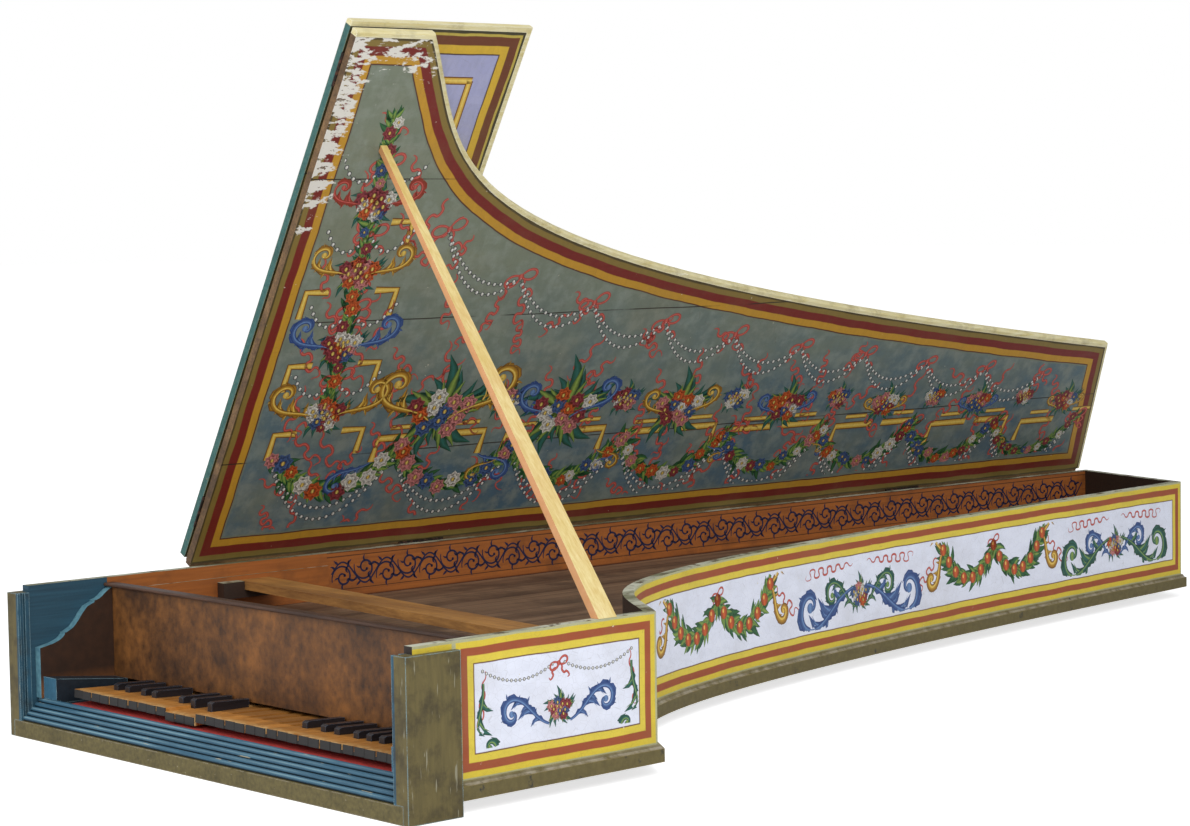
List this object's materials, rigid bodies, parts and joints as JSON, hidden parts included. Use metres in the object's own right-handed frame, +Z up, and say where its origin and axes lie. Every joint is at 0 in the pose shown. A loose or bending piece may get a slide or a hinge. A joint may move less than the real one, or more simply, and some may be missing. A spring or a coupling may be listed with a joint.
{
  "type": "harpsichord",
  "caption": "Single-manual wing-shaped harpsichord in a painted case, its lid propped open on a stick and its front flap folded back.",
  "frame": {"origin": "middle of the underside of the front rail, on the surface the case stands on", "axes": "+X towards the cheek at the treble end, +Y from the player to the tail, +Z up"},
  "size_m": [0.8976, 2.3008, 0.9574],
  "materials": {
    "painted_case": "painted lilac white with banded borders",
    "olive_paint": "olive paint on wood, worn",
    "blue_paint": "blue paint on wood, worn",
    "stained_walnut": "dark stain, rubbed",
    "bare_pine": "planed pine, unfinished",
    "aged_spruce": "aged spruce and poplar, unfinished",
    "gilded_edge": "yellow paint on wood, worn",
    "lid_paint": "painted grey green field with bands",
    "flap_paint": "painted lilac field with bands",
    "red_cloth": "woven wool",
    "boxwood": "hand-rubbed boxwood",
    "ebony": "black hardwood block",
    "wrought_iron": "forged, dark"
  },
  "bodies": {
    "case": {"bottom_boards": "aged_spruce", "spine_wall": "painted_case", "cheek_wall": "painted_case", "bentside_wall": "painted_case", "tail_wall": "painted_case", "base_moulding": "olive_paint", "front_rail": "olive_paint", "left_corner_post": "olive_paint", "right_corner_post": "olive_paint", "reeded_moulding": "blue_paint", "left_bracket": "blue_paint", "right_bracket": "blue_paint", "nameboard": "stained_walnut", "nameboard_cap": "stained_walnut", "key_frame": "blue_paint", "key_cloth": "red_cloth", "wrestplank": "aged_spruce", "jack_guide": "bare_pine", "belly_rail": "aged_spruce", "soundboard_liner": "aged_spruce", "soundboard": "aged_spruce", "jackrail": "bare_pine", "lid_hinge_front_case_leaf": "wrought_iron", "lid_hinge_rear_case_leaf": "wrought_iron"},
    "lid": {"lid_panel": "lid_paint", "lid_moulding": "gilded_edge", "lid_hinge_front_lid_leaf": "wrought_iron", "lid_hinge_rear_lid_leaf": "wrought_iron", "flap_hinge_bass_lid_leaf": "wrought_iron", "flap_hinge_treble_lid_leaf": "wrought_iron"},
    "flap": {"flap_panel": "flap_paint", "flap_moulding": "gilded_edge", "flap_hinge_bass_flap_leaf": "wrought_iron", "flap_hinge_treble_flap_leaf": "wrought_iron"},
    "prop_stick": {"prop_stick": "bare_pine"},
    "naturals_bcde_0": {"naturals_bcde_0": "boxwood"},
    "naturals_fgab_1": {"naturals_fgab_1": "boxwood"},
    "naturals_cd_2": {"naturals_cd_2": "boxwood"},
    "naturals_efg_2": {"naturals_efg_2": "boxwood"},
    "naturals_abcde_2": {"naturals_abcde_2": "boxwood"},
    "naturals_fgab_3": {"naturals_fgab_3": "boxwood"},
    "naturals_cde_4": {"naturals_cde_4": "boxwood"},
    "naturals_fgab_4": {"naturals_fgab_4": "boxwood"},
    "naturals_cde_5": {"naturals_cde_5": "boxwood"},
    "accidental_c_1": {"accidental_c_1": "ebony"},
    "accidental_d_1": {"accidental_d_1": "ebony"},
    "accidental_f_1": {"accidental_f_1": "ebony"},
    "accidental_g_1": {"accidental_g_1": "ebony"},
    "accidental_c_2": {"accidental_c_2": "ebony"},
    "accidental_d_2": {"accidental_d_2": "ebony"},
    "accidental_f_2": {"accidental_f_2": "ebony"},
    "accidental_a_3": {"accidental_a_3": "ebony"},
    "accidental_c_4": {"accidental_c_4": "ebony"},
    "accidental_d_4": {"accidental_d_4": "ebony"},
    "accidental_f_4": {"accidental_f_4": "ebony"},
    "accidental_g_4": {"accidental_g_4": "ebony"},
    "accidental_a_4": {"accidental_a_4": "ebony"},
    "accidental_c_5": {"accidental_c_5": "ebony"},
    "accidental_d_5": {"accidental_d_5": "ebony"}
  },
  "joints": [
    {"name": "lid_hinge", "type": "hinge", "parent": "case", "child": "lid", "pos_m": [-0.4338, 1.2, 0.205], "axis": [0, -1, 0], "range_deg": [-60, 0]},
    {"name": "flap_hinge", "type": "hinge", "parent": "lid", "child": "flap", "pos_m": [-0.44489, 0.283, 0.21579], "axis": [0.5, 0, 0.866], "range_deg": [0, 180]},
    {"name": "prop_stick_removal", "type": "slide", "parent": "case", "child": "prop_stick", "axis": [1, 0, 0], "range_m": [0, 1.16]},
    {"name": "naturals_bcde_0_pivot", "type": "hinge", "parent": "case", "child": "naturals_bcde_0", "pos_m": [-0.2997, 0.181, 0.0516], "axis": [1, 0, 0], "range_deg": [0, 3.1], "stiffness_Nm_per_rad": 2, "springref_deg": -11.46},
    {"name": "naturals_fgab_1_pivot", "type": "hinge", "parent": "case", "child": "naturals_fgab_1", "pos_m": [-0.2103, 0.181, 0.0516], "axis": [1, 0, 0], "range_deg": [0, 3.1], "stiffness_Nm_per_rad": 2, "springref_deg": -11.46},
    {"name": "naturals_cd_2_pivot", "type": "hinge", "parent": "case", "child": "naturals_cd_2", "pos_m": [-0.1432, 0.181, 0.0516], "axis": [1, 0, 0], "range_deg": [0, 3.1], "stiffness_Nm_per_rad": 1, "springref_deg": -11.46},
    {"name": "naturals_efg_2_pivot", "type": "hinge", "parent": "case", "child": "naturals_efg_2", "pos_m": [-0.0873, 0.181, 0.0516], "axis": [1, 0, 0], "range_deg": [0, 1.3], "stiffness_Nm_per_rad": 1.5, "springref_deg": -11.46},
    {"name": "naturals_abcde_2_pivot", "type": "hinge", "parent": "case", "child": "naturals_abcde_2", "pos_m": [0.0021, 0.181, 0.0516], "axis": [1, 0, 0], "range_deg": [0, 3.1], "stiffness_Nm_per_rad": 2.5, "springref_deg": -11.46},
    {"name": "naturals_fgab_3_pivot", "type": "hinge", "parent": "case", "child": "naturals_fgab_3", "pos_m": [0.1027, 0.181, 0.0516], "axis": [1, 0, 0], "range_deg": [0, 3.1], "stiffness_Nm_per_rad": 2, "springref_deg": -11.46},
    {"name": "naturals_cde_4_pivot", "type": "hinge", "parent": "case", "child": "naturals_cde_4", "pos_m": [0.18095, 0.181, 0.0516], "axis": [1, 0, 0], "range_deg": [0, 3.1], "stiffness_Nm_per_rad": 1.5, "springref_deg": -11.46},
    {"name": "naturals_fgab_4_pivot", "type": "hinge", "parent": "case", "child": "naturals_fgab_4", "pos_m": [0.2592, 0.181, 0.0516], "axis": [1, 0, 0], "range_deg": [0, 3.1], "stiffness_Nm_per_rad": 2, "springref_deg": -11.46},
    {"name": "naturals_cde_5_pivot", "type": "hinge", "parent": "case", "child": "naturals_cde_5", "pos_m": [0.33745, 0.181, 0.0516], "axis": [1, 0, 0], "range_deg": [0, 3.1], "stiffness_Nm_per_rad": 1.5, "springref_deg": -11.46},
    {"name": "accidental_c_1_pivot", "type": "hinge", "parent": "case", "child": "accidental_c_1", "pos_m": [-0.3026, 0.181, 0.0516], "axis": [1, 0, 0], "range_deg": [0, 3.1], "stiffness_Nm_per_rad": 0.5, "springref_deg": -11.46},
    {"name": "accidental_d_1_pivot", "type": "hinge", "parent": "case", "child": "accidental_d_1", "pos_m": [-0.2749, 0.181, 0.0516], "axis": [1, 0, 0], "range_deg": [0, 3.1], "stiffness_Nm_per_rad": 0.5, "springref_deg": -11.46},
    {"name": "accidental_f_1_pivot", "type": "hinge", "parent": "case", "child": "accidental_f_1", "pos_m": [-0.236, 0.181, 0.0516], "axis": [1, 0, 0], "range_deg": [0, 3.1], "stiffness_Nm_per_rad": 0.5, "springref_deg": -11.46},
    {"name": "accidental_g_1_pivot", "type": "hinge", "parent": "case", "child": "accidental_g_1", "pos_m": [-0.2103, 0.181, 0.0516], "axis": [1, 0, 0], "range_deg": [0, 3.1], "stiffness_Nm_per_rad": 0.5, "springref_deg": -11.46},
    {"name": "accidental_c_2_pivot", "type": "hinge", "parent": "case", "child": "accidental_c_2", "pos_m": [-0.1461, 0.181, 0.0516], "axis": [1, 0, 0], "range_deg": [0, 3.1], "stiffness_Nm_per_rad": 0.5, "springref_deg": -11.46},
    {"name": "accidental_d_2_pivot", "type": "hinge", "parent": "case", "child": "accidental_d_2", "pos_m": [-0.1184, 0.181, 0.0516], "axis": [1, 0, 0], "range_deg": [0, 3.1], "stiffness_Nm_per_rad": 0.5, "springref_deg": -11.46},
    {"name": "accidental_f_2_pivot", "type": "hinge", "parent": "case", "child": "accidental_f_2", "pos_m": [-0.0795, 0.181, 0.0516], "axis": [1, 0, 0], "range_deg": [0, 3.1], "stiffness_Nm_per_rad": 0.5, "springref_deg": -11.46},
    {"name": "accidental_a_3_pivot", "type": "hinge", "parent": "case", "child": "accidental_a_3", "pos_m": [0.128, 0.181, 0.0516], "axis": [1, 0, 0], "range_deg": [0, 3.1], "stiffness_Nm_per_rad": 0.5, "springref_deg": -11.46},
    {"name": "accidental_c_4_pivot", "type": "hinge", "parent": "case", "child": "accidental_c_4", "pos_m": [0.1669, 0.181, 0.0516], "axis": [1, 0, 0], "range_deg": [0, 3.1], "stiffness_Nm_per_rad": 0.5, "springref_deg": -11.46},
    {"name": "accidental_d_4_pivot", "type": "hinge", "parent": "case", "child": "accidental_d_4", "pos_m": [0.1946, 0.181, 0.0516], "axis": [1, 0, 0], "range_deg": [0, 3.1], "stiffness_Nm_per_rad": 0.5, "springref_deg": -11.46},
    {"name": "accidental_f_4_pivot", "type": "hinge", "parent": "case", "child": "accidental_f_4", "pos_m": [0.2335, 0.181, 0.0516], "axis": [1, 0, 0], "range_deg": [0, 3.1], "stiffness_Nm_per_rad": 0.5, "springref_deg": -11.46},
    {"name": "accidental_g_4_pivot", "type": "hinge", "parent": "case", "child": "accidental_g_4", "pos_m": [0.2592, 0.181, 0.0516], "axis": [1, 0, 0], "range_deg": [0, 3.1], "stiffness_Nm_per_rad": 0.5, "springref_deg": -11.46},
    {"name": "accidental_a_4_pivot", "type": "hinge", "parent": "case", "child": "accidental_a_4", "pos_m": [0.2845, 0.181, 0.0516], "axis": [1, 0, 0], "range_deg": [0, 3.1], "stiffness_Nm_per_rad": 0.5, "springref_deg": -11.46},
    {"name": "accidental_c_5_pivot", "type": "hinge", "parent": "case", "child": "accidental_c_5", "pos_m": [0.3234, 0.181, 0.0516], "axis": [1, 0, 0], "range_deg": [0, 3.1], "stiffness_Nm_per_rad": 0.5, "springref_deg": -11.46},
    {"name": "accidental_d_5_pivot", "type": "hinge", "parent": "case", "child": "accidental_d_5", "pos_m": [0.3511, 0.181, 0.0516], "axis": [1, 0, 0], "range_deg": [0, 3.1], "stiffness_Nm_per_rad": 0.5, "springref_deg": -11.46}
  ],
  "couplings": [
    {"joint": "prop_stick_removal", "follows": "lid_hinge", "m_per_rad": -1.1}
  ]
}
